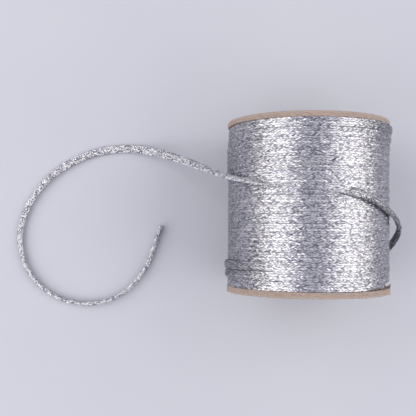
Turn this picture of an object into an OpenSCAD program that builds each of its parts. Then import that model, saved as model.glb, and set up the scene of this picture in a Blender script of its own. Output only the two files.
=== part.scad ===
// Craft spool of flat metallic braid: a paper tube between two laminated board flanges,
// one level winding, and a loose last turn that ends in a curled tail.
// The spool lies on its side. Its axis is Y, +Z is up, and the origin is its centre.

/* [Spool] */
// Diameter of both flanges
flange_d = 65; // [60:0.5:66]
// Clear length between the flanges
winding_length = 63.8; // [56:0.2:70]
// Diameter of the hole through the spool
bore_d = 25; // [16:0.5:32]

/* [Boards] */
// Thickness of each outer board
outer_board_t = 1.05; // [0.9:0.05:2]
// Thickness of each inner board
inner_board_t = 1; // [0.8:0.05:2]
// Rounding of the rim's outer corner
rim_round = 0.8; // [0.3:0.05:0.8]
// Rounding of the crushed corner that faces the winding
inner_rim_round = 0.2; // [0.1:0.05:0.4]

/* [Tube] */
// Wall of the paper tube
tube_wall = 2.5; // [1.5:0.1:4]
// Clearance round the tube, in the boards and under the winding
fit_gap = 0.1; // [0.05:0.05:0.3]

/* [Start tape] */
// Thickness of the tape that holds the braid's inner end
tape_t = 0.2; // [0.15:0.05:0.4]
// Width of the tape along the tube
tape_w = 12; // [6:1:20]
// How far the tape goes round the tube, in degrees
tape_arc = 110; // [60:5:170]

/* [Winding] */
// Width of the braid in the winding
strand_w = 2.9; // [2.5:0.1:3.3]
// Thickness of the braid in the winding
strand_t = 1.6; // [1.2:0.1:2]
// Least clear gap between neighbouring turns
turn_gap = 0.44; // [0.42:0.01:0.6]
// Gap between the end turns and the flanges
end_gap = 0.3; // [0.2:0.05:0.6]
// How far the winding's face lies inside the flange rims
rim_inset = 0.25; // [0.15:0.05:0.8]
// Where the top layer starts, in degrees round the axis from +X towards +Z
start_angle = 350; // [340:5:360]
// How far the first turns stand proud, where the top layer climbs
start_lift = 1.2; // [0:0.1:1.4]
// How far the loosened turns near the finish stand proud
slack_lift = 1.2; // [0:0.1:1.4]
// Length of the ramp on which the braid climbs to the top layer
climb_length = 9; // [6:0.5:12]

/* [Tail] */
// Width of the free braid
tail_w = 3.4; // [2.9:0.1:3.5]
// Thickness of the free braid
tail_t = 1.7; // [1.3:0.1:1.9]
// Straight run of the tail where it leaves the winding
tail_lead = 6; // [4:0.5:7]

/* [Hidden] */

round_fn = 128;
corner_steps = 5;
flange_r = flange_d / 2;
bore_r = bore_d / 2;
tube_r = bore_r + tube_wall;
tube_length = winding_length + 2 * inner_board_t;

// Angles run round the axis from +X through +Z. The finish is under the spool.
finish_angle = 285;
rings_per_turn = 24;
part_turn = (finish_angle - start_angle + 360) / 360;
travel = winding_length - strand_w - 2 * end_gap;
whole_turns = floor(travel / (strand_w + turn_gap) - part_turn);
turns = whole_turns + part_turn;
pitch = travel / turns;
ring_count = ceil(rings_per_turn * turns);
strand_r = flange_r - rim_inset - strand_t / 2;
// The flat inner faces of the turns are chords, so the layers below stay inside them.
inner_layers_r = (strand_r - strand_t / 2) * cos(180 / rings_per_turn) - fit_gap;
inner_layers_bore_r = tube_r + fit_gap + tape_t + fit_gap;

// Loose turns rise only where these lobes point, so nothing swells under the spool.
start_lift_toward = 15;
start_lift_turns = 2.6;
slack_lift_toward = 180;
slack_turn = 16;
slack_reach = 1.1;

// The tail after its straight lead, as x, y, z and the roll of its flat side in degrees.
// Roll 0 lies flat on the winding or on the floor, and 90 stands on edge.
air_near = 38;
air_far = 60;
tail_points = [
    [21.5, -29.8, -26.8, 0],
    [27.6, -25.8, -22, 0],
    [32.6, -20.6, -15.5, 0],
    [35.8, -15.9, -9.5, 5],
    [37.3, -12, -4.5, 10],
    [37.2, -8.7, 0, 10],
    [35.3, -6.2, 5, 5],
    [32.9, -4.1, 10, 0],
    [29.5, -2, 16, 0],
    [22.5, 1.5, 25, 0],
    [15, 4, 30.1, 0],
    [6, 6, 33, 0],
    [-4, 7, 33.5, 0],
    [-13, 7.5, 31, 0],
    [-21.2, 8.5, 26.2, 10],
    [-27.8, 9.5, 19.7, 45],
    [-32.3, 11, 12.2, 72],
    [-36, 12.8, 5, 84],
    [-40, 15, -2, 78],
    [-45, 17.5, -10, 55],
    [-50, 20, -16.5, 30],
    [-56, 22.3, -22.5, 10],
    [-63.5, 24.8, -28, 0],
    [-73, 26.7, -31, 0],
    [-83, 26.5, -31.5, 5],
    [-93, 24.5, -31.3, 15],
    [-102.5, 20.3, -31.2, 25],
    [-111, 14.3, -31, 35],
    [-118, 6.5, -31, 40],
    [-123, -3, -31, 40],
    [-125, -13, -31, 45],
    [-123.5, -23, -30.8, 55],
    [-119, -31.5, -30.7, 65],
    [-112, -38, -30.7, 75],
    [-103, -42, -30.7, 80],
    [-93, -43, -30.7, 85],
    [-83.3, -41, -30.7, 85],
    [-75, -35.5, -30.7, 85],
    [-69, -28, -30.7, 85],
    [-65.5, -20.5, -30.7, 85],
    [-63.2, -13, -30.7, 85],
    [-61.3, -8, -30.7, 85]
];

function unit(v) = v / norm(v);
function clamp01(t) = min(1, max(0, t));
function smooth(t) = let (s = clamp01(t)) s * s * (3 - 2 * s);
function sum(list, i = 0) = i >= len(list) ? 0 : list[i] + sum(list, i + 1);

// Directions at an angle round the axis: outwards, and along the winding.
function outward(angle) = [cos(angle), 0, sin(angle)];
function onward(angle) = [-sin(angle), 0, cos(angle)];
axial = [0, 1, 0];

// Triangles that skin equal rings of points, with both ends closed.
function skin_faces(rings, sides) = concat(
    [for (i = [0 : rings - 2], j = [0 : sides - 1], half = [0, 1])
        let (a = i * sides + j, b = i * sides + (j + 1) % sides)
        half == 0 ? [a, b, a + sides] : [b, b + sides, a + sides]],
    [for (j = [1 : sides - 2]) [0, j + 1, j]],
    [for (j = [1 : sides - 2]) (rings - 1) * sides * [1, 1, 1] + [0, j, j + 1]]);

// The strand's path, counted in rings from the start.
function turn_at(k) = k * turns / ring_count;
function angle_at(k) = start_angle - 360 + 360 * turn_at(k);
function lobe(angle, toward) = pow(max(0, cos(angle - toward)), 2);
function lift_at(k) =
    start_lift * lobe(angle_at(k), start_lift_toward)
        * clamp01(1 - turn_at(k) / start_lift_turns)
    + slack_lift * lobe(angle_at(k), slack_lift_toward)
        * smooth(2 - 2 * abs(turn_at(k) - slack_turn) / slack_reach);
function turn_centre(k) = (strand_r + lift_at(k)) * outward(angle_at(k))
    + (travel / 2 - pitch * turn_at(k)) * axial;

// Flat six-sided section, as steps along the width and through the thickness.
strand_section = [[0.5, 0], [0.33, 0.5], [-0.33, 0.5], [-0.5, 0], [-0.33, -0.5], [0.33, -0.5]];
function strand_ring(k, slide = 0) =
    let (angle = angle_at(k), at = turn_centre(k) + slide * onward(angle))
    [for (p = strand_section) at + p.x * strand_w * axial + p.y * strand_t * outward(angle)];

strand_rings = concat([strand_ring(0, -strand_w)],
                      [for (k = [0 : ring_count]) strand_ring(k)],
                      [strand_ring(ring_count, strand_w)]);

// Least distance between points of neighbouring turns.
least_gap = min([for (k = [0 : ring_count - rings_per_turn], step = [-1, 0, 1])
    let (m = min(ring_count, k + rings_per_turn + step))
    min([for (p = strand_ring(k), q = strand_ring(m)) norm(p - q)])]);

// Frame of the free tail at one point of its route.
exit_at = turn_centre(ring_count) + strand_w * onward(finish_angle);
tail_route = concat([concat(exit_at, 0), concat(exit_at + tail_lead * onward(finish_angle), 0)],
                    tail_points);
tail_last = len(tail_route) - 1;
function place(i) = [for (n = [0 : 2]) tail_route[min(tail_last, max(0, i))][n]];
function heading(i) = i == 0 ? unit(place(1) - place(0)) : unit(place(i + 1) - place(i - 1));
function facing(at) =
    let (r = norm([at.x, at.z]), near = clamp01((air_far - r) / (air_far - air_near)))
    unit(near * [at.x, 0, at.z] / r + (1 - near) * [0, 0, 1]);
tail_section = [[0.5, 0.2], [0.3, 0.5], [-0.3, 0.5], [-0.5, 0.2],
                [-0.5, -0.2], [-0.3, -0.5], [0.3, -0.5], [0.5, -0.2]];
function tail_ring(i) =
    let (along = heading(i), across = unit(cross(facing(place(i)), along)),
         up = cross(along, across), roll = tail_route[i][3],
         wide = across * cos(roll) + up * sin(roll),
         thick = up * cos(roll) - across * sin(roll))
    [for (p = tail_section) place(i) + p.x * tail_w * wide + p.y * tail_t * thick];

tail_length = sum([for (i = [1 : tail_last]) norm(place(i) - place(i - 1))]);
echo(turns = turns, pitch = pitch, least_gap = least_gap, tail_length = tail_length,
     exit_at = exit_at, lowest_tail = min([for (i = [0 : tail_last]) for (p = tail_ring(i)) p.z]));

// Turns a profile of [radius, height] round the Y axis.
module on_axis() {
    rotate([-90, 0, 0]) rotate_extrude($fn = round_fn) children();
}

// Disc between two radii, from height low to high, with each rim corner rounded.
module disc_profile(hole_r, low, high, low_round, high_round) {
    polygon(concat(
        [[hole_r, low]],
        [for (s = [0 : corner_steps]) let (a = -90 + 90 * s / corner_steps)
            [flange_r - low_round + low_round * cos(a), low + low_round + low_round * sin(a)]],
        [for (s = [0 : corner_steps]) let (a = 90 * s / corner_steps)
            [flange_r - high_round + high_round * cos(a), high - high_round + high_round * sin(a)]],
        [[hole_r, high]]));
}

// One board of a laminated flange, drawn for the top and mirrored for the bottom.
module inner_board() {
    on_axis() disc_profile(tube_r + fit_gap, winding_length / 2, winding_length / 2 + inner_board_t,
                           inner_rim_round, 0.05);
}

module outer_board() {
    on_axis() disc_profile(bore_r, tube_length / 2, tube_length / 2 + outer_board_t,
                           0.05, rim_round);
}

module core_tube() {
    color("peru") on_axis() translate([bore_r, -tube_length / 2]) square([tube_wall, tube_length]);
}

module top_inner_board() {
    color("tan") inner_board();
}

module top_outer_board() {
    color("tan") outer_board();
}

module bottom_inner_board() {
    color("tan") mirror([0, 1, 0]) inner_board();
}

module bottom_outer_board() {
    color("tan") mirror([0, 1, 0]) outer_board();
}

module start_tape() {
    color("wheat") rotate([-90, 0, 0])
        rotate_extrude(angle = tape_arc, $fn = round_fn)
            translate([tube_r + fit_gap / 2, winding_length / 2 - end_gap - tape_w])
                square([tape_t, tape_w]);
}

// The ramp's face is square to the top layer's first run, where the braid comes up.
module climb_ramp() {
    top_r = strand_r + lift_at(0) + strand_t / 2;
    start_y = travel / 2;
    rotate([0, -start_angle, 0])
        translate([0, start_y + strand_w / 2, 0]) rotate([90, 0, 0])
            linear_extrude(strand_w)
                polygon([[top_r, -strand_w], [inner_layers_r - strand_t, -strand_w],
                         [inner_layers_r - strand_t, -strand_w - climb_length / 2],
                         [inner_layers_r * cos(asin((strand_w + climb_length) / inner_layers_r)),
                          -strand_w - climb_length]]);
}

module inner_layers() {
    color("darkgray") {
        on_axis() translate([inner_layers_bore_r, -winding_length / 2 + fit_gap])
            square([inner_layers_r - inner_layers_bore_r, winding_length - 2 * fit_gap]);
        climb_ramp();
    }
}

module outer_layer() {
    color("silver")
        polyhedron([for (ring = strand_rings) for (p = ring) p],
                   skin_faces(len(strand_rings), len(strand_section)));
}

module free_tail() {
    color("lightgray")
        polyhedron([for (i = [0 : tail_last]) for (p = tail_ring(i)) p],
                   skin_faces(tail_last + 1, len(tail_section)));
}

core_tube();
top_inner_board();
top_outer_board();
bottom_inner_board();
bottom_outer_board();
start_tape();
inner_layers();
outer_layer();
free_tail();
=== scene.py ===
"""Craft spool of flat metallic braid: the look of every piece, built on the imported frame.

The spool lies on its side: its axis is Y, +Z is up, and the origin is its centre.
Lengths are metres, and angles run round the axis from +X through +Z.
"""
import math

import bpy
import numpy as np
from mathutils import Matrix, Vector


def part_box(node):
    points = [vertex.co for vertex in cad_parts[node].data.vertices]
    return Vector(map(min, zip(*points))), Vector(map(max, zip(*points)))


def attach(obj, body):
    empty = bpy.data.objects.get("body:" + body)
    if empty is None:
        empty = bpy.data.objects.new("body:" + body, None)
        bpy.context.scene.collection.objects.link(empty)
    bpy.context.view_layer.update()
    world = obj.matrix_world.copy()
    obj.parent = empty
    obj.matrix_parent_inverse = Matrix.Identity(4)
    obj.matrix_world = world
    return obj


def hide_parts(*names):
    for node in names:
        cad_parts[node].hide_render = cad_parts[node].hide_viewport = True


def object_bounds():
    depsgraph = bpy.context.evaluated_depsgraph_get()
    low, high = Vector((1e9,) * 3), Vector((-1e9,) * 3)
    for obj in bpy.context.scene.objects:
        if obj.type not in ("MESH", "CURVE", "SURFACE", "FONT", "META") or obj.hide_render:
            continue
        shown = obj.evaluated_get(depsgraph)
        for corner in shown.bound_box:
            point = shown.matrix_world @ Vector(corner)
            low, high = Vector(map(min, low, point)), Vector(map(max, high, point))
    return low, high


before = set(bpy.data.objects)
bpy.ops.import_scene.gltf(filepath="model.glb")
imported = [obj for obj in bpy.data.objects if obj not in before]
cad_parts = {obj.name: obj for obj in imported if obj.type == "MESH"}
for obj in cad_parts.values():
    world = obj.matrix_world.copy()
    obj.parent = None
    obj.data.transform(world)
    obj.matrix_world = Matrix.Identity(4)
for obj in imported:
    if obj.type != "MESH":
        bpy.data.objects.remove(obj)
cad_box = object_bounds()
MM = 0.001
FLOOR_Z = cad_box[0][2]
AXIAL = np.array([0.0, 1.0, 0.0])

# ---------------------------------------------------------------- camera

# Fitted to both flanges' rims in the photo. Its side and the focal length are in pixels.
PHOTO_SIZE = 416
FOCAL_PX = 693
CAMERA_AT = (-40.33 * MM, -9.62 * MM, 281.5 * MM)
CAMERA_TILT = (math.radians(1.81), 0, math.radians(0.43))


def make_camera():
    data = bpy.data.cameras.new("camera")
    data.lens = data.sensor_width * FOCAL_PX / PHOTO_SIZE
    data.clip_start = 10 * MM
    camera = bpy.data.objects.new("camera", data)
    camera.location = CAMERA_AT
    camera.rotation_euler = CAMERA_TILT
    bpy.context.scene.collection.objects.link(camera)
    bpy.context.scene.camera = camera


make_camera()

# ---------------------------------------------------------------- the strand's path

# The top layer, as the frame has it. These angles are degrees, and turns count from its start.
FLANGE_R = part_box("top_outer_board")[1].x
WINDING_LENGTH = 2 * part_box("top_inner_board")[0].y
STRAND_T = 1.6 * MM
CAD_STRAND_W = 2.9 * MM
END_GAP = 0.3 * MM
TURN_GAP = 0.44 * MM
RIM_INSET = 0.25 * MM
START_ANGLE, FINISH_ANGLE = 350, 285

# Turns that stand proud: the first ones, a late slack one and a few eased ones. How far, towards
# which angle, round which turn and over how many turns.
START_LIFT, START_LIFT_TOWARD, START_LIFT_TURNS = 1.2 * MM, 15, 2.6
SLACK_LIFT, SLACK_LIFT_TOWARD, SLACK_TURN, SLACK_REACH = 1.3 * MM, 180, 15.75, 1.15
EASED_LIFT, EASED_TOWARD, EASED_TURN, EASED_REACH = 0.4 * MM, 180, 3.5, 2.5

PART_TURN = (FINISH_ANGLE - START_ANGLE + 360) / 360
TRAVEL = WINDING_LENGTH - CAD_STRAND_W - 2 * END_GAP
TURNS = math.floor(TRAVEL / (CAD_STRAND_W + TURN_GAP) - PART_TURN) + PART_TURN
PITCH = TRAVEL / TURNS
STRAND_R = FLANGE_R - RIM_INSET - STRAND_T / 2
TURN_LENGTH = 2 * math.pi * STRAND_R

# How far round from its start the top layer hugs the top flange, and from where the bottom one,
# in turns. Elsewhere the helix leaves a slot there.
TOP_HUG = (0.40, 0.62)
BOTTOM_HUG = (0.12, 0.19)

# The layer under it runs the other way, from the bottom flange to the climb at the top one,
# and lies along each flange for part of a turn. Only its two ends show, up to SHOWS_TO and from
# SHOWS_FROM.
UNDER_R = STRAND_R - 1.5 * MM
UNDER_START, UNDER_LEAVES, UNDER_ARRIVES = -19.35, -18.9, -0.5
UNDER_SHOWS_TO, UNDER_SHOWS_FROM = -17.4, -1.9
CLIMB_TURNS = 0.08

# Wander is a mean of waves: how many, the slowest one's rate, how much quicker each is than the
# last, and the scale that lets the mean reach about 1.
WAVES, SLOWEST_WAVE, QUICKER, FULLER = 9, 0.35, 1.6, 1.6

# How far the wound strand wanders, how often in a turn, and the wander's seed.
UNEVEN_OUT, UNEVEN_OUT_RATE, UNEVEN_OUT_SEED = 0.10 * MM, 4.3, 3
UNEVEN_ALONG, UNEVEN_ALONG_RATE, UNEVEN_ALONG_SEED = 0.07 * MM, 3.7, 5
UNEVEN_ROLL, UNEVEN_ROLL_RATE, UNEVEN_ROLL_SEED = math.radians(2.5), 3.1, 7

# How loose the proud first turns are, and over how much of the last turn the strand loosens.
PROUD_LOOSE, LOOSENS_OVER = 0.8, 0.1

# The tail first runs straight on. Up to AIR_NEAR from the spool's axis its flat side faces outward,
# and past AIR_FAR it faces up.
TAIL_LEAD = 6 * MM
AIR_NEAR, AIR_FAR = 38 * MM, 60 * MM

# x, y, z in mm and the roll of the flat side in degrees, after the tail's straight lead.
TAIL_POINTS = [
    (21.5, -29.8, -26.8, 0),
    (27.6, -25.8, -22, 0),
    (32.6, -20.6, -15.5, 0),
    (35.8, -15.9, -9.5, 5),
    (37.3, -12, -4.5, 10),
    (37.2, -8.7, 0, 10),
    (35.3, -6.2, 5, 5),
    (32.9, -4.1, 10, 0),
    (29.5, -2, 16, 0),
    (22.5, 1.5, 25, 0),
    (15, 4, 30.1, 0),
    (6, 6, 33, 0),
    (-4, 7, 33.5, 0),
    (-13, 7.5, 31, 0),
    (-21.2, 8.5, 26.2, 10),
    (-27.8, 9.5, 19.7, 45),
    (-32.3, 11, 12.2, 72),
    (-36, 12.8, 5, 84),
    (-40, 15, -2, 78),
    (-45, 17.5, -10, 55),
    (-50, 20, -16.5, 30),
    (-56, 22.3, -22.5, 10),
    (-63.5, 24.8, -28, 0),
    (-73, 26.7, -31, 0),
    (-83, 26.5, -31.5, 5),
    (-93, 24.5, -31.3, 15),
    (-102.5, 20.3, -31.2, 25),
    (-111, 14.3, -31, 35),
    (-118, 6.5, -31, 40),
    (-123, -3, -31, 40),
    (-125, -13, -31, 45),
    (-123.5, -23, -30.8, 55),
    (-119, -31.5, -30.7, 65),
    (-112, -38, -30.7, 75),
    (-103, -42, -30.7, 80),
    (-93, -43, -30.7, 85),
    (-83.3, -41, -30.7, 85),
    (-75, -35.5, -30.7, 85),
    (-69, -28, -30.7, 85),
    (-65.5, -20.5, -30.7, 85),
    (-63.2, -13, -30.7, 85),
    (-61.3, -8, -30.7, 85),
]


def unit(v):
    return v / np.linalg.norm(v, axis=-1, keepdims=True)


def smooth(t):
    """0 up to t = 0, 1 from t = 1 on, and an ease between them."""
    t = np.clip(t, 0, 1)
    return t * t * (3 - 2 * t)


def wander(t, seed):
    """Smooth seeded noise of about -1 to 1 along t."""
    rng = np.random.default_rng(seed)
    speeds = SLOWEST_WAVE * QUICKER ** np.arange(WAVES)
    heights = rng.uniform(0.5, 1, WAVES) / np.arange(1, WAVES + 1) ** 0.7
    phases = rng.uniform(0, 2 * math.pi, WAVES)
    waved = np.sin(2 * math.pi * np.multiply.outer(t, speeds) + phases) * heights
    return waved.sum(-1) / heights.sum() * FULLER


def mix(pair, share):
    """From the first of a pair at share 0 to the second at 1."""
    return pair[0] + (pair[1] - pair[0]) * share


def outward(angle):
    """The direction away from the axis at an angle."""
    return np.stack([np.cos(angle), 0 * angle, np.sin(angle)], -1)


def onward(angle):
    """The direction in which the strand runs round the axis at an angle."""
    return np.stack([-np.sin(angle), 0 * angle, np.cos(angle)], -1)


def around_turn(turn, middle, reach):
    """1 within half a reach of the middle turn, easing to 0 at the whole reach."""
    return smooth(2 - 2 * np.abs(turn - middle) / reach)


def within(s, stretch, ease):
    """1 well inside a stretch, given by its ends, easing to 0 at both of them."""
    return smooth((s - stretch[0]) / ease) * smooth((stretch[1] - s) / ease)


def lobe(angle, toward):
    """1 at an angle in degrees, falling to 0 a quarter of a turn away from it."""
    return np.maximum(0, np.cos(angle - math.radians(toward))) ** 2


def angle_at(turn):
    return math.radians(START_ANGLE) + 2 * math.pi * (turn - 1)


def spread(turn):
    """How far the top layer's turns are pushed along the axis, to lie along the flanges."""
    since = turn % 1
    to_top = since * PITCH * (1 - smooth((since - TOP_HUG[0]) / (TOP_HUG[1] - TOP_HUG[0])))
    short = np.maximum(0, PART_TURN - since) * PITCH
    to_bottom = short * smooth((since - BOTTOM_HUG[0]) / (BOTTOM_HUG[1] - BOTTOM_HUG[0]))
    return to_top * (1 - turn / TURNS) - to_bottom * turn / TURNS


def rolled(wide, thick, roll):
    """The width and outward directions of a strand, turned round its length by a roll."""
    cos, sin = np.cos(roll), np.sin(roll)
    return wide * cos + thick * sin, thick * cos - wide * sin


def wound(turn):
    """Centre, width and outward directions at each turn count, how loose it is and how fluffed.

    Below 0 it is the layer underneath, which climbs to the top layer at 0.
    """
    angle = angle_at(turn)
    proud = lobe(angle, START_LIFT_TOWARD) * np.clip(1 - turn / START_LIFT_TURNS, 0, 1)
    slack = lobe(angle, SLACK_LIFT_TOWARD) ** 2 * around_turn(turn, SLACK_TURN, SLACK_REACH)
    eased = lobe(angle, EASED_TOWARD) * around_turn(turn, EASED_TURN, EASED_REACH)
    risen = smooth(1 + turn / CLIMB_TURNS)
    top = STRAND_R + START_LIFT * proud + SLACK_LIFT * slack + EASED_LIFT * eased
    radius = UNDER_R + (top - UNDER_R) * risen
    radius += UNEVEN_OUT * wander(turn * UNEVEN_OUT_RATE, UNEVEN_OUT_SEED)
    crossed = np.clip((turn - UNDER_LEAVES) / (UNDER_ARRIVES - UNDER_LEAVES), 0, 1)
    y = np.where(turn < 0, TRAVEL * (crossed - 0.5), TRAVEL / 2 - PITCH * turn + spread(turn))
    y = y + UNEVEN_ALONG * wander(turn * UNEVEN_ALONG_RATE, UNEVEN_ALONG_SEED)
    roll = UNEVEN_ROLL * wander(turn * UNEVEN_ROLL_RATE, UNEVEN_ROLL_SEED)[:, None]
    out, wide = outward(angle), np.broadcast_to(-AXIAL, (len(turn), 3))
    centre = radius[:, None] * out + y[:, None] * AXIAL
    freed = smooth((turn - TURNS) / LOOSENS_OVER + 1)
    loose = np.clip(PROUD_LOOSE * proud * (turn > 0) + slack + freed, 0, 1)
    wide, thick = rolled(wide, out, roll)
    return centre, wide, thick, loose, 0 * loose


def top_strand(s):
    """The wound strand at a distance s from the start of the top layer, and its straight end."""
    last = TURNS * TURN_LENGTH
    centre, *rest = wound(np.minimum(s, last) / TURN_LENGTH)
    extra = np.maximum(0, s - last)[:, None]
    return centre + extra * onward(np.full(len(s), angle_at(TURNS))), *rest


def plain_finish():
    """Where the even helix of the frame's top layer ends, and its direction there."""
    angle = np.array([angle_at(TURNS)])
    return (STRAND_R * outward(angle) - TRAVEL / 2 * AXIAL)[0], onward(angle)[0]


FINISH_AT, FINISH_WAY = plain_finish()
EXIT_AT = FINISH_AT + CAD_STRAND_W * FINISH_WAY
STRAND_END = TURNS * TURN_LENGTH + CAD_STRAND_W
TAIL_ROUTE = np.array(
    [(*EXIT_AT, 0), (*(EXIT_AT + TAIL_LEAD * FINISH_WAY), 0)]
    + [(x * MM, y * MM, z * MM, roll) for x, y, z, roll in TAIL_POINTS]
)


def through(points, per_span):
    """A smooth curve through all the points, per_span steps from each to the next."""
    ends = np.vstack([2 * points[0] - points[1], points, 2 * points[-1] - points[-2]])
    t = np.linspace(0, 1, per_span, endpoint=False)[None, :, None]
    a, b, c, d = (ends[k : len(ends) - 3 + k][:, None, :] for k in range(4))
    curve = 0.5 * (
        2 * b + (c - a) * t + (2 * a - 5 * b + 4 * c - d) * t**2 + (3 * b - a - 3 * c + d) * t**3
    )
    return np.vstack([curve.reshape(-1, points.shape[1]), points[-1]])


# Where the tail crosses the front of the winding, as distances along it: how deep it beds in, how
# much flatter it gets, and until where it rolls, and how far, to hide its upper edge.
CROSSING, CROSSING_EASE, CROSSING_DEPTH = (84 * MM, 144 * MM), 14 * MM, 1.85 * MM
CROSSING_FLATTER = 0.4
CROSSING_ROLL, ROLLED_UNTIL = math.radians(17), 119 * MM

# Where the tail twists off the winding, and how much sooner than its route's rolls say.
TWISTS, TWIST_EASE, EARLY_TWIST = (100 * MM, 165 * MM), 16 * MM, 8 * MM

# Where the slack loop comes back to the winding and rolls its lower edge out, where it touches
# down, and how much closer it lies there than its route says.
LANDING, LANDING_EASE, LANDING_ROLL = (50 * MM, 90 * MM), 12 * MM, math.radians(22)
TOUCHDOWN, TOUCHDOWN_DEPTH = 60 * MM, 0.7 * MM

# Where the free braid starts to fluff up, and where it is fully fluffed.
FLUFFS = (124 * MM, 142 * MM)

# How unevenly the tail twists, the length of its wander's unit, and its seed. How far bedded braid
# is from loose, and the reach over which the tail's direction is taken.
TAIL_UNEVEN_ROLL, TAIL_WANDER, TAIL_SEED = math.radians(5), 40 * MM, 11
BEDDED_SQUEEZE = 0.5
DIRECTION_REACH = 1.5 * MM

TAIL_CURVE = through(TAIL_ROUTE, per_span=40)
TAIL_STEPS = np.linalg.norm(np.diff(TAIL_CURVE[:, :3], axis=0), axis=1)
TAIL_AT = np.concatenate([[0], np.cumsum(TAIL_STEPS)])
TAIL_LENGTH = TAIL_AT[-1]


def tail_place(s):
    """Centre and roll of the tail, and how firmly it beds into the winding that it crosses."""
    centre = np.stack([np.interp(s, TAIL_AT, TAIL_CURVE[:, k]) for k in range(3)], -1)
    ahead = EARLY_TWIST * within(s, TWISTS, TWIST_EASE)
    roll = np.radians(np.interp(s + ahead, TAIL_AT, TAIL_CURVE[:, 3]))[:, None]
    bedded = within(s, CROSSING, CROSSING_EASE)
    landed = within(s, LANDING, LANDING_EASE)
    touching = landed * smooth((s - TOUCHDOWN) / LANDING_EASE)
    inward = CROSSING_DEPTH * bedded + TOUCHDOWN_DEPTH * touching
    centre = centre - inward[:, None] * unit(centre * (1, 0, 1))
    return centre, roll + (LANDING_ROLL * landed)[:, None], bedded


def tail(s):
    """The free tail at a distance s from its exit: the same five as the wound strand's."""
    centre, roll, bedded = tail_place(s)
    along = unit(tail_place(s + DIRECTION_REACH)[0] - tail_place(s - DIRECTION_REACH)[0])
    radial = centre * (1, 0, 1)
    distance = np.linalg.norm(radial, axis=-1, keepdims=True)
    near = np.clip((AIR_FAR - distance) / (AIR_FAR - AIR_NEAR), 0, 1)
    facing = unit(near * radial / distance + (1 - near) * np.array([0, 0, 1.0]))
    across = unit(np.cross(facing, along))
    up = np.cross(along, across)
    roll = roll + TAIL_UNEVEN_ROLL * wander(s / TAIL_WANDER, TAIL_SEED)[:, None]
    roll = roll + (CROSSING_ROLL * bedded * smooth((ROLLED_UNTIL - s) / CROSSING_EASE))[:, None]
    wide, thick = rolled(across, up, roll)
    thick = thick * (1 - CROSSING_FLATTER * bedded)[:, None]
    fluffed = smooth((s - FLUFFS[0]) / (FLUFFS[1] - FLUFFS[0]))
    return centre, wide, thick, 1 - BEDDED_SQUEEZE * bedded, fluffed


# ---------------------------------------------------------------- braid

# Steps round a section, to measure it and as it is kept.
FINE_STEPS, SECTION_STEPS = 4000, 720


def flat_section(width, thickness, power):
    """Points and outward normals at equal steps round a flattened oval, and its girth.

    The higher the power, the squarer the oval. It starts and ends where it faces along its width.
    """
    a = np.linspace(0, 2 * math.pi, FINE_STEPS + 1)
    x = width / 2 * np.sign(np.cos(a)) * np.abs(np.cos(a)) ** (2 / power)
    z = thickness / 2 * np.sign(np.sin(a)) * np.abs(np.sin(a)) ** (2 / power)
    at = np.concatenate([[0], np.cumsum(np.hypot(np.diff(x), np.diff(z)))])
    q = np.linspace(0, 1, SECTION_STEPS + 1)
    x, z = np.interp(q * at[-1], at, x), np.interp(q * at[-1], at, z)
    dx, dz = np.gradient(x), np.gradient(z)
    dx[0] = dx[-1] = 0
    step = np.hypot(dx, dz)
    return {"q": q, "x": x, "z": z, "nx": dz / step, "nz": -dx / step, "girth": at[-1]}


# A flattened tubular braid: WAYS carriers run each way round it, over two and under two, which
# leaves as many columns of slanting floats. Lay is the length in which a carrier goes once round.
WAYS = 10
WOUND_LAY, FREE_LAY = 22 * MM, 11.5 * MM
WOUND_SECTION = flat_section(width=4.15 * MM, thickness=1.76 * MM, power=2.7)
FREE_SECTION = flat_section(width=3.5 * MM, thickness=1.8 * MM, power=2.1)

# For braid squeezed into the winding and for loose braid: how far a carrier dips under the others,
# how rough it is, how much of its lane it covers, how strongly its shading takes the braid's own
# surface, and how much that surface turns towards the braid's sides.
CARRIER_T = (0.30 * MM, 0.62 * MM)
ROUGHEN = (0.02 * MM, 0.09 * MM)
COVER = (1.02, 0.80)
FLATTEN = (2.0, 0.6)
SIDES_TURN = (0.3, 1.0)

# Each carrier lays down two yarns: points across it, in its widths and in mm, how much of a crest
# each is, and where they lie in the film, in yarns. The last place is where its back ends.
YARN_PROFILE = [(-0.5, -0.13), (-0.27, 0.0), (0.0, -0.05), (0.27, 0.0), (0.5, -0.13)]
# The material paints shade where the crest mark is low: at yarn edges, between yarns, on sunk
# carriers.
YARN_CREST = np.array([0, 1, 0.4, 1, 0])
YARN_PLACES = np.array([0, 0.46, 1, 1.54, 2, 4])

# How abruptly carriers change between over and under, and the step between rings.
FLOAT_SHARPNESS = 1.4
STEP = 0.45 * MM

# In the bake's map: a carrier's girth, and the margin beside its strips, as a share of them.
CARRIER_GIRTH, STRIP_MARGIN = 2.3 * MM, 0.04


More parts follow.
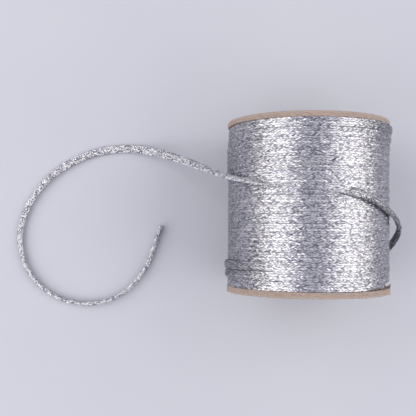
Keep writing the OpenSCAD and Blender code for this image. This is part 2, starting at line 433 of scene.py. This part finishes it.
def braid_mesh(path, s, lay, seed):
    """Vertices by ring, carrier and profile point, which way the braid faces there, and marks.

    The marks raised and crest are the height of a vertex's carrier and its own, from 0, sunk, to 1,
    on top; the material paints shade where they are low. The mark fluffed is the path's own, and
    backward is 1 on carriers that run backward, which the material paints darker than the others.
    """
    centre, wide, thick, *states = path(s)
    loose, fluffed = (state[:, None, None] for state in states)
    along = unit(np.gradient(centre, axis=0))
    squeezed, free = WOUND_SECTION, FREE_SECTION
    girth = (squeezed["girth"] + free["girth"]) / 2
    slant = math.atan2(girth, lay)
    width = lay / WAYS * math.sin(slant) * mix(COVER, loose)
    profile = np.array(YARN_PROFILE)
    carriers = np.arange(2 * WAYS)
    way = np.where(carriers < WAYS, 1.0, -1.0)
    lane = np.where(carriers < WAYS, carriers, carriers + 0.5) / WAYS
    shift = profile[:, 0] * width
    q = lane[None, :, None] + way[None, :, None] * (s / lay)[:, None, None]
    q = q + shift * math.cos(slant) / girth
    weave = np.cos(2 * math.pi * WAYS / 2 * q)
    over = np.tanh(FLOAT_SHARPNESS * weave * way[None, :, None]) / math.tanh(FLOAT_SHARPNESS)
    found = {
        k: (1 - loose) * np.interp(q % 1, squeezed["q"], squeezed[k])
        + loose * np.interp(q % 1, free["q"], free[k])
        for k in ("x", "z", "nx", "nz")
    }
    height = (over - 1) / 2 * mix(CARRIER_T, loose) + profile[:, 1][None, None, :] * MM
    height = height + mix(ROUGHEN, loose) * np.random.default_rng(seed).normal(size=q.shape)
    out_w, out_t = found["x"] + height * found["nx"], found["z"] + height * found["nz"]
    back = -way[None, :, None] * shift * math.sin(slant) * np.ones_like(q)
    at = (
        centre[:, None, None]
        + out_w[..., None] * wide[:, None, None]
        + out_t[..., None] * thick[:, None, None]
        + back[..., None] * along[:, None, None]
    )
    raised = 0.5 + over / 2
    facing = (
        (found["nx"] * mix(SIDES_TURN, loose))[..., None] * wide[:, None, None]
        + found["nz"][..., None] * thick[:, None, None]
    )
    facing = unit(facing) * mix(FLATTEN, loose)[..., None]
    marks = {
        "crest": YARN_CREST * raised,
        "raised": raised,
        "fluffed": np.broadcast_to(fluffed, q.shape),
        "backward": np.broadcast_to(way[None, :, None] < 0, q.shape),
    }
    return at, facing, marks


def braid_piece(name, path, start, end, lay, seed=1):
    """One length of braid as a mesh, every carrier a closed ridged ribbon."""
    rings = max(2, round((end - start) / STEP) + 1)
    s = np.linspace(start, end, rings)
    at, facing, marks = braid_mesh(path, s, lay, seed)
    carriers, sides = at.shape[1:3]
    at[..., 2] = np.maximum(at[..., 2], FLOOR_Z)
    index = np.arange(rings * carriers * sides).reshape(rings, carriers, sides)
    turned = np.roll(index, -1, axis=2)
    quads = np.stack([index[:-1], turned[:-1], turned[1:], index[1:]], -1).reshape(-1, 4)
    caps = np.concatenate([index[0][:, ::-1], index[-1]])
    maps = {
        "Yarn": yarn_map(s, carriers, sides),
        "OFBake": bake_map(rings, carriers, sides),
    }
    piece = mesh_object(name, at.reshape(-1, 3), [quads, caps], marks, maps)
    settle_normals(piece.data, facing.reshape(-1, 3))
    return piece


def settle_normals(mesh, facing):
    """Turn every yarn's shading part way to the braid's own surface, as film yarns lie flat."""
    normals = np.empty(len(mesh.vertices) * 3, np.float32)
    mesh.vertex_normals.foreach_get("vector", normals)
    turned = unit(normals.reshape(-1, 3) + facing)
    mesh.normals_split_custom_set_from_vertices(turned.tolist())


def on_quads(along, across):
    """Map places at the corners of every quad, from values per ring and per profile side."""
    u = np.stack([along[:-1], along[:-1], along[1:], along[1:]], -1)
    v = np.stack([across[..., :-1], across[..., 1:], across[..., 1:], across[..., :-1]], -1)
    both = np.broadcast_arrays(u[:, None, None, :], v)
    return np.stack(both, -1).reshape(-1, 2)


def yarn_map(s, carriers, sides):
    """Millimetres along the braid by yarns across it, for the material."""
    across = np.arange(carriers)[:, None] * YARN_PLACES[-1] + YARN_PLACES
    quads = on_quads(s / MM, np.broadcast_to(across, (len(s) - 1, *across.shape)))
    return np.vstack([quads, np.zeros((2 * carriers * sides, 2))])


def bake_map(rings, carriers, sides):
    """Every carrier unrolled into strips that fill the unit square, without overlaps."""
    folds = max(1, round(math.sqrt((rings - 1) * STEP / (carriers * CARRIER_GIRTH))))
    per_fold = math.ceil((rings - 1) / folds)
    fold = np.arange(rings - 1) // per_fold
    strips = carriers * folds + 1
    along = (np.arange(rings - 1) % per_fold)[:, None] + np.array([0, 0, 1, 1])
    across = np.linspace(STRIP_MARGIN, 1 - STRIP_MARGIN, sides + 1)
    base = np.arange(carriers)[None, :] * folds + fold[:, None]
    v = (base[..., None] + across) / strips
    v = np.stack([v[..., :-1], v[..., 1:], v[..., 1:], v[..., :-1]], -1)
    u = np.broadcast_to((along / per_fold)[:, None, None, :], v.shape)
    corner = np.linspace(0, 2 * math.pi, sides, endpoint=False)
    oval = 0.5 + 0.4 * np.stack([np.cos(corner), np.sin(corner)], -1)
    slot = np.stack([np.arange(2 * carriers), np.zeros(2 * carriers)], -1)[:, None]
    caps = (slot + oval) / (2 * carriers, strips) + (0, (strips - 1) / strips)
    return np.vstack([np.stack([u, v], -1).reshape(-1, 2), caps.reshape(-1, 2)])


def mesh_object(name, points, face_groups, marks, maps):
    """A smooth-shaded mesh from an array of points and arrays of equal-sided faces."""
    mesh = bpy.data.meshes.new(name)
    loops = np.concatenate([g.ravel() for g in face_groups]).astype(np.int32)
    sizes = np.concatenate([np.full(len(g), g.shape[1]) for g in face_groups])
    mesh.vertices.add(len(points))
    mesh.vertices.foreach_set("co", points.astype(np.float32).ravel())
    mesh.loops.add(len(loops))
    mesh.loops.foreach_set("vertex_index", loops)
    mesh.polygons.add(len(sizes))
    mesh.polygons.foreach_set("loop_start", (np.cumsum(sizes) - sizes).astype(np.int32))
    mesh.polygons.foreach_set("use_smooth", np.ones(len(sizes), bool))
    for title in marks:
        values = marks[title].astype(np.float32).ravel()
        mesh.attributes.new(title, "FLOAT", "POINT").data.foreach_set("value", values)
    for title in maps:
        corners = maps[title].astype(np.float32).ravel()
        mesh.uv_layers.new(name=title).data.foreach_set("uv", corners)
    mesh.update()
    piece = bpy.data.objects.new(name, mesh)
    bpy.context.scene.collection.objects.link(piece)
    return piece


# ---------------------------------------------------------------- turned shapes

# How much quicker each wave of a ripple is than the last.
RIPPLE_QUICKER = 1.13


def ripple(angle, seed, slowest=1, waves=40):
    """Seeded noise of about -1 to 1 that closes on itself round a full turn.

    It is a sum of waves, the slowest one with that many cycles in the turn.
    """
    rng = np.random.default_rng(seed)
    cycles = np.unique(np.round(slowest * RIPPLE_QUICKER ** np.arange(waves)))
    heights = rng.uniform(0.4, 1, len(cycles)) / np.sqrt(np.arange(1, len(cycles) + 1))
    phases = rng.uniform(0, 2 * math.pi, len(cycles))
    waved = np.cos(np.multiply.outer(angle, cycles) + phases) * heights
    return waved.sum(-1) / np.sqrt((heights**2).sum() / 2) / 2


def all_round(count):
    """Angles at equal steps round a full turn."""
    return np.arange(count) * (2 * math.pi / count)


def turned_piece(name, angle, radius, height, marks, reverse=False):
    """A ring about the Y axis, from radius and height by angle and by point of a closed profile.

    The profile goes towards +Y along its outside, and reverse is for one that goes the other way.
    """
    if reverse:
        radius, height = radius[:, ::-1], height[:, ::-1]
        marks = {title: mark[:, ::-1] for title, mark in marks.items()}
    at = radius[..., None] * outward(angle)[:, None] + height[..., None] * AXIAL
    at[..., 2] = np.maximum(at[..., 2], FLOOR_Z)
    index = np.arange(radius.size).reshape(radius.shape)
    ahead = np.roll(index, -1, axis=0)
    quads = np.stack([index, ahead, np.roll(ahead, -1, axis=1), np.roll(index, -1, axis=1)], -1)
    closed_r, closed_h = (np.append(row[0], row[0, 0]) for row in (radius, height))
    down = np.concatenate([[0], np.cumsum(np.hypot(np.diff(closed_r), np.diff(closed_h)))])
    round_it = np.arange(len(angle) + 1) * (2 * math.pi / len(angle)) * radius.max()
    u = np.stack([round_it[:-1], round_it[1:], round_it[1:], round_it[:-1]], -1)
    v = np.stack([down[:-1], down[:-1], down[1:], down[1:]], -1)
    wrap = np.stack(np.broadcast_arrays(u[:, None], v[None]), -1).reshape(-1, 2) / MM
    return mesh_object(name, at.reshape(-1, 3), [quads.reshape(-1, 4)], marks, {"Wrap": wrap})


# ---------------------------------------------------------------- materials

# Film cells per mm along the yarns and per yarn across, and tufts, the larger stretches of fluff
# that share a tone. How far film tilts in wound and in fluffed braid, between which of its random
# values it stops being dull, and the painted highlight on carriers that run forward and painted
# shade on those that run backward.
FILM_CELLS, TUFT_CELLS = (0.88, 2.05, 1.0), (0.95, 0.42, 1.0)
FILM_TILT = (0.34, 0.95)
FILM_DULL = (0.25, 0.37)
WAY_PAINTED_LIGHT = (1.08, 0.9)

# Cells and tufts darken towards their edges: from and up to which distance from their middles,
# and from which tone to which. Film's roughness is random between two values.
FILM_EDGE, TUFT_EDGE = (0.35, 0.75, 1, 0.45), (0.5, 0.8, 1, 0.6)
FILM_ROUGH = (0.2, 0.4)

# Between which heights braid turns from painted shade in its gaps and on sunk yarns to its bright
# floats, squeezed and fluffed, and how metallic fluff is.
SILVER_RAISED, FLUFF_RAISED = (0, 0.9), (0.27, 0.49)
FLUFF_METAL = 0.35

# Pairs of colours, the darker one first.
FILM_COLORS = (0.37, 0.362, 0.425), (1, 1, 1)
# Silver and fluff: the darker colour is painted shade in the gaps and on sunk yarns, the lighter
# one the film's own.
SILVER_WITH_GAP_SHADE = (0.15, 0.145, 0.19), (0.915, 0.91, 0.94)
FLUFF_WITH_GAP_SHADE = (0.10, 0.092, 0.16), (0.96, 0.955, 1.0)
PULP_COLORS = (0.285, 0.212, 0.178), (0.45, 0.345, 0.292)
PLY_COLORS = (0.20, 0.146, 0.125), (0.49, 0.376, 0.322)
FLECK_COLORS = (0.14, 0.10, 0.085), (0.66, 0.60, 0.54)
FIBRE_COLORS = (0.30, 0.205, 0.14), (0.50, 0.375, 0.275)
CREPE_WITH_HOLLOW_SHADE = (0.56, 0.47, 0.32), (0.78, 0.69, 0.52)
FLOOR_COLORS = (0.508, 0.517, 0.575), (0.538, 0.545, 0.595)

# Single colours: the board's stains and worn edges, and the tube's stains and seam.
BOARD_STAIN, BOARD_WORN = (0.33, 0.255, 0.225), (0.60, 0.49, 0.435)
TUBE_STAIN, TUBE_SEAM = (0.255, 0.175, 0.12), (0.12, 0.08, 0.055)


class Nodes:
    """Short calls to build one material's nodes."""

    def __init__(self, name):
        self.material = bpy.data.materials.new(name)
        self.material.use_nodes = True
        self.tree = self.material.node_tree
        self.shader = self.tree.nodes["Principled BSDF"]

    def link(self, source, socket):
        self.tree.links.new(source, socket)

    def feed(self, socket, value):
        """Give a socket another one's output, or a value of its own."""
        if isinstance(value, bpy.types.NodeSocket):
            self.link(value, socket)
        else:
            socket.default_value = value

    def add(self, kind, **values):
        made = self.tree.nodes.new("ShaderNode" + kind)
        for key, value in values.items():
            self.feed(made.inputs[key.replace("_", " ")], value)
        return made

    def mark(self, name):
        """One of the mesh's own marks."""
        made = self.tree.nodes.new("ShaderNodeAttribute")
        made.attribute_name = name
        return made.outputs["Fac"]

    def wrap(self, stretch):
        """Millimetres round a turned piece by millimetres down its profile, stretched."""
        made = self.tree.nodes.new("ShaderNodeUVMap")
        made.uv_map = "Wrap"
        return self.vector("MULTIPLY", made.outputs["UV"], stretch)

    def solid(self, stretch):
        """The piece's own millimetres, stretched."""
        made = self.tree.nodes.new("ShaderNodeTexCoord")
        return self.vector("MULTIPLY", made.outputs["Object"], [s / MM for s in stretch])

    def combined(self, kind, operation, a, b):
        made = self.tree.nodes.new("ShaderNode" + kind)
        made.operation = operation
        self.feed(made.inputs[0], a)
        self.feed(made.inputs[1], b)
        return made.outputs[0]

    def vector(self, operation, a, b=(0, 0, 0)):
        return self.combined("VectorMath", operation, a, b)

    def math(self, operation, a, b):
        return self.combined("Math", operation, a, b)

    def noise(self, place, detail, roughness=0.6):
        made = self.add("TexNoise", Vector=place, Scale=1.0, Detail=detail, Roughness=roughness)
        return made.outputs["Fac"]

    def cells(self, place):
        return self.add("TexVoronoi", Vector=place, Scale=1.0)

    def ranged(self, value, low, high, to_low=0.0, to_high=1.0):
        """A value's way from low to high, as the same way from to_low to to_high."""
        made = self.add("MapRange", Value=value, From_Min=low, From_Max=high)
        made.inputs["To Min"].default_value, made.inputs["To Max"].default_value = to_low, to_high
        return made.outputs["Result"]

    def blend(self, share, first, second):
        """A colour between two, each a colour or a socket."""
        made = self.tree.nodes.new("ShaderNodeMix")
        made.data_type = "RGBA"
        self.feed(made.inputs[0], share)
        for value, socket in ((first, made.inputs[6]), (second, made.inputs[7])):
            self.feed(socket, (*value, 1) if isinstance(value, tuple) else value)
        return made.outputs[2]

    def finish(self, color, rough, height, depth):
        """The material, with these on its shader and bumps of this depth."""
        self.link(color, self.shader.inputs["Base Color"])
        self.link(rough, self.shader.inputs["Roughness"])
        bump = self.add("Bump", Strength=1.0, Distance=depth, Height=height)
        self.link(bump.outputs["Normal"], self.shader.inputs["Normal"])
        return self.material


def metallic_braid():
    """Metallised film yarn: every short stretch of film has its own tilt and tone, so it glitters.

    Where the braid has fluffed up, its floats are whiter. Its gaps and sunk yarns get painted
    shade, darker where fluffed, and carriers get a painted highlight or painted shade by the way
    they run.
    """
    n = Nodes("metallic_braid")
    crest, fluffed = n.mark("crest"), n.mark("fluffed")
    yarn = n.add("UVMap")
    yarn.uv_map = "Yarn"
    film, tuft = (
        n.cells(n.vector("MULTIPLY", yarn.outputs["UV"], size)) for size in (FILM_CELLS, TUFT_CELLS)
    )
    film.voronoi_dimensions = tuft.voronoi_dimensions = "2D"
    cell = n.blend(fluffed, film.outputs["Color"], tuft.outputs["Color"])
    kind = n.add("SeparateColor", Color=cell).outputs
    tilt = n.vector("SUBTRACT", cell, (0.5, 0.5, 0.5))
    tilt = n.vector("MULTIPLY", tilt, n.ranged(fluffed, 0, 1, *FILM_TILT))
    facing = n.vector("ADD", n.add("NewGeometry").outputs["Normal"], tilt)
    n.link(n.vector("NORMALIZE", facing), n.shader.inputs["Normal"])
    film_edge = n.ranged(film.outputs["Distance"], *FILM_EDGE)
    tuft_edge = n.ranged(tuft.outputs["Distance"], *TUFT_EDGE)
    tone = n.blend(n.ranged(kind["Green"], *FILM_DULL), *FILM_COLORS)
    tone = n.vector("MULTIPLY", tone, n.blend(fluffed, film_edge, tuft_edge))
    # Painted light: carriers that run forward are lighter, those that run backward darker.
    tone = n.vector("MULTIPLY", tone, n.ranged(n.mark("backward"), 0, 1, *WAY_PAINTED_LIGHT))
    # Painted shade: sunk yarns and the gaps between floats turn dark, wound or fluffed.
    silver_gap_shaded = n.blend(n.ranged(crest, *SILVER_RAISED), *SILVER_WITH_GAP_SHADE)
    fluff = n.blend(n.ranged(n.mark("raised"), *FLUFF_RAISED), *FLUFF_WITH_GAP_SHADE)
    color = n.blend(fluffed, silver_gap_shaded, fluff)
    n.link(n.vector("MULTIPLY", color, tone), n.shader.inputs["Base Color"])
    n.link(n.ranged(fluffed, 0, 1, 1, FLUFF_METAL), n.shader.inputs["Metallic"])
    n.link(n.ranged(kind["Red"], 0, 1, *FILM_ROUGH), n.shader.inputs["Roughness"])
    return n.material


def kraft_board():
    """Grey-brown pulp board: smooth faces, and a rough cut edge with plies along it."""
    n = Nodes("kraft_board")
    cut, worn = n.mark("cut"), n.mark("worn")
    cloud = n.noise(n.solid((0.16, 0.16, 0.16)), detail=3)
    pulp = n.noise(n.solid((1.6, 1.6, 1.6)), detail=6, roughness=0.7)
    plies = n.noise(n.wrap((0.35, 5.5, 1)), detail=5, roughness=0.7)
    grit = n.noise(n.solid((4.5, 4.5, 4.5)), detail=3)
    body = n.blend(n.ranged(pulp, 0.38, 0.62), *PULP_COLORS)
    edge = n.blend(n.ranged(plies, 0.38, 0.60), *PLY_COLORS)
    color = n.blend(n.math("MULTIPLY", cut, 0.6), body, edge)
    color = n.blend(n.ranged(cloud, 0.42, 0.66, 0.0, 0.35), color, BOARD_STAIN)
    rubbed = n.math("MULTIPLY", worn, n.ranged(grit, 0.45, 0.6, 0.0, 0.6))
    color = n.blend(rubbed, color, BOARD_WORN)
    fleck = n.cells(n.solid((0.9, 0.9, 0.9)))
    near = n.ranged(fleck.outputs["Distance"], 0.10, 0.22, 0.8, 0.0)
    kind = n.add("SeparateColor", Color=fleck.outputs["Color"]).outputs["Red"]
    color = n.blend(near, color, n.blend(n.ranged(kind, 0.45, 0.55), *FLECK_COLORS))
    height = n.math("ADD", n.math("MULTIPLY", plies, cut), n.math("MULTIPLY", grit, 0.8))
    return n.finish(color, n.ranged(pulp, 0.3, 0.7, 0.78, 0.95), height, depth=0.12 * MM)


def tube_paper():
    """Spiral-wound brown paper: fibres run with the strip, and its edge shows as a dark line."""
    n = Nodes("tube_paper")
    fibres = n.noise(n.wrap((0.5, 3.2, 1)), detail=5, roughness=0.7)
    pulp = n.noise(n.solid((0.9, 0.9, 0.9)), detail=5, roughness=0.65)
    color = n.blend(n.ranged(fibres, 0.34, 0.66), *FIBRE_COLORS)
    color = n.blend(n.ranged(pulp, 0.5, 0.75, 0.0, 0.5), color, TUBE_STAIN)
    color = n.blend(n.math("MULTIPLY", n.mark("seam"), 0.75), color, TUBE_SEAM)
    return n.finish(color, n.ranged(fibres, 0.3, 0.7, 0.65, 0.85), fibres, depth=0.08 * MM)


def paper_tape():
    """Creped paper tape: fine ridges across it, with painted shade in their hollows."""
    n = Nodes("paper_tape")
    crepe = n.noise(n.solid((0.35, 2.6, 0.35)), detail=5, roughness=0.65)
    # Painted shade: the noise that sinks the hollows also darkens the colour there.
    color = n.blend(n.ranged(crepe, 0.35, 0.65), *CREPE_WITH_HOLLOW_SHADE)
    return n.finish(color, n.ranged(crepe, 0.3, 0.7, 0.6, 0.8), crepe, depth=0.1 * MM)


def studio_floor():
    """Pale matt paper, barely mottled."""
    n = Nodes("studio_floor")
    cloud = n.noise(n.solid((0.02, 0.02, 0.02)), detail=3)
    color = n.blend(cloud, *FLOOR_COLORS)
    return n.finish(color, n.ranged(cloud, 0.0, 1.0, 0.85, 0.95), cloud, depth=0.01 * MM)


BRAID = metallic_braid()
BOARD = kraft_board()
TUBE = tube_paper()
TAPE = paper_tape()


def cover(piece, material):
    """Give a piece this material alone."""
    piece.data.materials.clear()
    piece.data.materials.append(material)


def dress(piece, material, slot, *nodes):
    """Give a piece its material and hide the frame's nodes that it replaces. The slot is not used.
    """
    cover(piece, material)
    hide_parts(*nodes)
    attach(piece, "root")


# ---------------------------------------------------------------- pieces

# The frame's bore, tube and drum of windings, and the gap round the tube in the inner boards.
BORE_R, TUBE_R, FIT_GAP = 12.5 * MM, 15 * MM, 0.1 * MM
DRUM_HALF, DRUM_R, DRUM_BORE_R = 31.7 * MM, 30.6 * MM, 15.4 * MM

# How the top layer is cut into pieces.
TURNS_PER_PIECE = 2

# Steps round the boards and round the drum and tube, and rings of points along these two.
BOARD_STEPS, SLEEVE_STEPS = 720, 240
DRUM_RINGS, TUBE_RINGS = 161, 131

# The drum's ridges: how high, and how far they waver.
DRUM_RIDGE, DRUM_WAVER = 0.45 * MM, 0.08 * MM

# The step where the edge of the tube's inner ply winds round the bore, as shares of its pitch: how
# wide it fades out, how wide it rises and how wide its dark line is. How rough the bore is.
SEAM_PITCH, SEAM_STEP = 66 * MM, 0.16 * MM
SEAM_FADE, SEAM_RISE, SEAM_LINE = 0.12, 0.008, 0.006
BORE_ROUGH = 0.01 * MM

# How uneven a board is, in mm: its rim's slow and quick swell, its faces' lift, and the fuzz on
# cut edges and on all of it. Near the hole the swell turns over and shrinks.
SLOW_SWELL, QUICK_SWELL, CUT_FUZZ = 0.05, 0.035, 0.012
FACE_LIFT, FACE_FUZZ = 0.025, 0.006
HOLE_SWELL = -0.6

# Fuzz is a point's own and its neighbour's, in these shares. How far the rim, the hole's edge and
# a burr reach.
FUZZ_SHARES = (0.6, 0.4)
RIM_REACH, HOLE_REACH, BURR_REACH = 1.2 * MM, 1 * MM, 0.35 * MM

# A board's hole has small chamfers. Its faces have rings of points at these distances from the
# hole, in mm, up to a margin before the rim's rounding. Then come the points on the low and high
# roundings, and those down the rim and the hole, their ends included.
HOLE_CHAMFER, FACE_MARGIN = 0.1 * MM, 0.4 * MM
FACE_RINGS = np.array([0.25, 0.9, 1.7, 2.5, 2.8, 4.5, 7, 10, 13, 15.5, 17.5]) * MM
LOW_POINTS, HIGH_POINTS, RIM_POINTS, HOLE_POINTS = 5, 7, 6, 5

# A burr: its angle and width in degrees, how far it stands outward and along the axis in mm, and
# 1 for a board's outer corner or -1 for its inner one.
TORN_LIP = (12, 3, 0.3, -1.7, -1)
NICK = (57, 1.3, 0.2, 0.7, 1)

# Small burrs have random widths and sizes, and stand outward by a share of their size.
BURR_WIDTHS, BURR_SIZES, BURR_OUTWARD = (0.4, 1.1), (0.3, 1), 0.5


def make_tail():
    piece = braid_piece("free_braid_tail", tail, 0, TAIL_LENGTH, FREE_LAY)
    dress(piece, BRAID, "metallic_braid", "free_tail")


def make_winding():
    edges = np.append(np.arange(0, TURNS - 1, TURNS_PER_PIECE) * TURN_LENGTH, STRAND_END)
    for n, (start, end) in enumerate(zip(edges[:-1], edges[1:])):
        piece = braid_piece(f"top_layer_{n + 1:02d}", top_strand, start, end, WOUND_LAY, seed=n)
        dress(piece, BRAID, "metallic_braid", "outer_layer")


def make_under_layer():
    top = ("under_layer_top", UNDER_SHOWS_FROM, 0)
    bottom = ("under_layer_bottom", UNDER_START, UNDER_SHOWS_TO)
    for name, start, end in (top, bottom):
        piece = braid_piece(name, top_strand, start * TURN_LENGTH, end * TURN_LENGTH, WOUND_LAY)
        dress(piece, BRAID, "metallic_braid", "inner_layers")


def sleeve(name, angle, y, uneven_r, plain_r, marks, reverse=False):
    """A sleeve along Y: uneven outside, or inside if reversed, and plain on its other side."""
    plain = np.full((len(angle), 2), plain_r)
    radius = np.concatenate([uneven_r, plain], axis=1)
    height = np.broadcast_to(np.concatenate([y, [y[-1], y[0]]]), radius.shape)
    marks = {title: np.concatenate([mark, 0 * plain], axis=1) for title, mark in marks.items()}
    return turned_piece(name, angle, radius, height, marks, reverse)


def spiral(angle, y, pitch):
    """How far each place is past a line that winds round the axis, as a share of its pitch."""
    return (y[None, :] / pitch + angle[:, None] / (2 * math.pi)) % 1


def make_drum():
    """The layers of braid under the ones above, of which only the ridges could ever show."""
    y, angle = np.linspace(-DRUM_HALF, DRUM_HALF, DRUM_RINGS), all_round(SLEEVE_STEPS)
    ridge = 1 - (2 * spiral(angle, y, PITCH) - 1) ** 4
    outside = DRUM_R + DRUM_RIDGE * (ridge - 1) + DRUM_WAVER * ripple(angle, seed=21)[:, None]
    # The crest and raised marks make the material paint shade into the grooves between the ridges.
    marks = {"crest": ridge, "raised": ridge, "fluffed": 0 * ridge}
    piece = sleeve("inner_windings", angle, y, outside, DRUM_BORE_R, marks)
    piece.data.uv_layers["Wrap"].name = "Yarn"
    dress(piece, BRAID, "metallic_braid", "inner_layers")


def bump_at(angle, toward, width):
    """1 at an angle in degrees, falling to 0 within about twice the width round it."""
    off = (angle - math.radians(toward) + math.pi) % (2 * math.pi) - math.pi
    return np.exp(-((off / math.radians(width)) ** 2))


def board_profile(hole_r, low, high, low_round, high_round):
    """Radius, height, how cut and how worn: from the hole over the low face, rim and high face."""
    low_steps = np.radians(np.linspace(-90, 0, LOW_POINTS))
    high_steps = np.radians(np.linspace(0, 90, HIGH_POINTS))
    face = FACE_RINGS + hole_r
    face = face[face < FLANGE_R - high_round - FACE_MARGIN]
    rim = np.linspace(low + low_round, high - high_round, RIM_POINTS)[1:-1]
    rows = [(hole_r, low + HOLE_CHAMFER, 1, 1)]
    rows += [(r, low, 0, 0) for r in face]
    rows += [(FLANGE_R - low_round * (1 - math.cos(a)), low + low_round * (1 + math.sin(a)),
              1, 1) for a in low_steps]
    rows += [(FLANGE_R, y, 1, 0) for y in rim]
    rows += [(FLANGE_R - high_round * (1 - math.cos(a)), high - high_round * (1 - math.sin(a)),
              1, 1) for a in high_steps]
    rows += [(r, high, 0, 0) for r in face[::-1]]
    rows += [(hole_r, high - HOLE_CHAMFER, 1, 1)]
    rows += [(hole_r, y, 1, 0) for y in np.linspace(high, low, HOLE_POINTS)[1:-1]]
    return np.array(rows).T


def make_board(node, side, hole_r, rounds, seed, flare=(0, 0), burrs=()):
    """One board of a flange. It is shaped for the top, and side is -1 for the bottom.

    Its low and high corners have the two rounds in mm, and its outer face flares at the rim by the
    first of flare in mm, more or less by the second.
    """
    low, high = sorted(abs(corner.y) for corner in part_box(node))
    radius, height, cut, worn = board_profile(hole_r, low, high, *(r * MM for r in rounds))
    angle = all_round(BOARD_STEPS)
    rng = np.random.default_rng(seed)
    fuzz = rng.normal(size=(len(angle), len(radius)))
    fuzz = FUZZ_SHARES[0] * fuzz + FUZZ_SHARES[1] * np.roll(fuzz, 1, axis=0)
    rim, upper = radius > FLANGE_R - RIM_REACH, height > (low + high) / 2
    slow = ripple(angle, seed + 1, slowest=1, waves=24)[:, None]
    quick = ripple(angle, seed + 2, slowest=30, waves=30)[:, None]
    rolling = ripple(angle, seed + 3, slowest=2, waves=30)[:, None]
    flared = flare[0] + flare[1] * ripple(angle, seed + 4, slowest=2, waves=20)[:, None]
    swell = (SLOW_SWELL * slow + QUICK_SWELL * quick) * rim + CUT_FUZZ * fuzz * (cut > 0)
    lift = FACE_LIFT * rolling * (cut == 0) + FACE_FUZZ * fuzz
    out = radius + swell * MM * np.where(radius > hole_r + HOLE_REACH, 1, HOLE_SWELL)
    up = np.broadcast_to(height, out.shape) + lift * MM * np.where(upper, 1, -1)
    up = up + flared * MM * (rim * upper)
    for toward, width, outward_by, along_by, corner in burrs:
        at = bump_at(angle, toward, width)[:, None]
        away = np.hypot(radius - FLANGE_R, height - (high if corner > 0 else low))
        near = np.exp(-(away / BURR_REACH) ** 2)
        out = out + outward_by * MM * at * near
        up = up + along_by * MM * at * near
    marks = {"cut": np.broadcast_to(cut, out.shape), "worn": np.broadcast_to(worn, out.shape)}
    piece = turned_piece(node + "_cut", angle, out, up * side, marks, reverse=side < 0)
    dress(piece, BOARD, "kraft_board", node)


def rim_burrs(seed, count, size):
    """Small seeded burrs on a board's outer corner."""
    rng = np.random.default_rng(seed)
    return [(rng.uniform(0, 360), rng.uniform(*BURR_WIDTHS), BURR_OUTWARD * s, s, 1)
            for s in rng.uniform(*BURR_SIZES, count) * size]


def make_boards():
    hole = TUBE_R + FIT_GAP
    small = rim_burrs(seed=44, count=60, size=0.15)
    crushed = [(angle, width, 0, -size, -1) for angle, width, _, size, _ in small]
    make_board("top_outer_board", 1, BORE_R, rounds=(0.12, 0.75), seed=31, flare=(0.06, 0.04),
               burrs=rim_burrs(seed=41, count=50, size=0.2))
    make_board("top_inner_board", 1, hole, rounds=(0.25, 0.12), seed=32)
    make_board("bottom_outer_board", -1, BORE_R, rounds=(0.12, 0.5), seed=33, flare=(0.24, 0.11),
               burrs=rim_burrs(seed=43, count=90, size=0.5) + [NICK])
    make_board("bottom_inner_board", -1, hole, rounds=(0.2, 0.12), seed=34,
               burrs=[TORN_LIP] + crushed)


def make_tube():
    """A spiral-wound paper tube: its inner ply's edge shows as one low step round the bore."""
    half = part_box("core_tube")[1].y
    y, angle = np.linspace(-half, half, TUBE_RINGS), all_round(SLEEVE_STEPS)
    past = spiral(angle, y, SEAM_PITCH)
    step = SEAM_STEP * np.clip(1 - past / SEAM_FADE, 0, 1) ** 2 * smooth(past / SEAM_RISE)
    rough = ripple(angle, seed=51, slowest=20, waves=30)[:, None]
    inside = BORE_R + step + BORE_ROUGH * rough
    seam = np.exp(-np.minimum(past, 1 - past) / SEAM_LINE)
    piece = sleeve("spiral_tube", angle, y, inside, TUBE_R, {"seam": seam}, reverse=True)
    dress(piece, TUBE, "tube_paper", "core_tube")


make_tail()
make_winding()
make_under_layer()
make_drum()
make_boards()
make_tube()

# The tape shows from no side, so the frame's own stays.
cover(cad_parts["start_tape"], TAPE)


# ---------------------------------------------------------------- stage and light

FLOOR_SIZE = 3
LAMP_COLOR, LAMP_DISTANCE = (1, 0.985, 0.93), 0.6

# The sky's colour, and its brightness at the horizon and overhead.
SKY_COLOR, SKY = (0.88, 0.885, 1, 1), (0.05, 0.85)


def make_floor():
    bpy.ops.mesh.primitive_plane_add(size=FLOOR_SIZE, location=(0, 0, FLOOR_Z))
    floor = bpy.context.object
    floor.name = "floor"
    floor.data.materials.append(studio_floor())


def soft_box(name, angle, size, power):
    """A lamp at an angle from straight up, towards +X, aimed at the spool."""
    data = bpy.data.lights.new(name, "AREA")
    data.shape, data.size, data.size_y, data.energy = "RECTANGLE", *size, power
    data.color = LAMP_COLOR
    lamp = bpy.data.objects.new(name, data)
    a = math.radians(angle)
    lamp.location = (LAMP_DISTANCE * math.sin(a), 0, LAMP_DISTANCE * math.cos(a))
    lamp.rotation_euler = (0, a, 0)
    bpy.context.scene.collection.objects.link(lamp)


def make_light():
    world = bpy.data.worlds.new("studio")
    world.use_nodes = True
    nodes, links = world.node_tree.nodes, world.node_tree.links
    sky = nodes["Background"]
    sky.inputs["Color"].default_value = SKY_COLOR
    way = nodes.new("ShaderNodeTexCoord")
    split = nodes.new("ShaderNodeSeparateXYZ")
    links.new(way.outputs["Generated"], split.inputs["Vector"])
    rise = nodes.new("ShaderNodeMapRange")
    rise.inputs["To Min"].default_value, rise.inputs["To Max"].default_value = SKY
    links.new(split.outputs["Z"], rise.inputs["Value"])
    links.new(rise.outputs["Result"], sky.inputs["Strength"])
    bpy.context.scene.world = world
    soft_box("left_soft_box", angle=-54, size=(0.56, 1.0), power=3.28)
    soft_box("right_soft_box", angle=56, size=(0.62, 1.0), power=3.66)


make_floor()
make_light()
bpy.context.scene.view_settings.view_transform = "Standard"
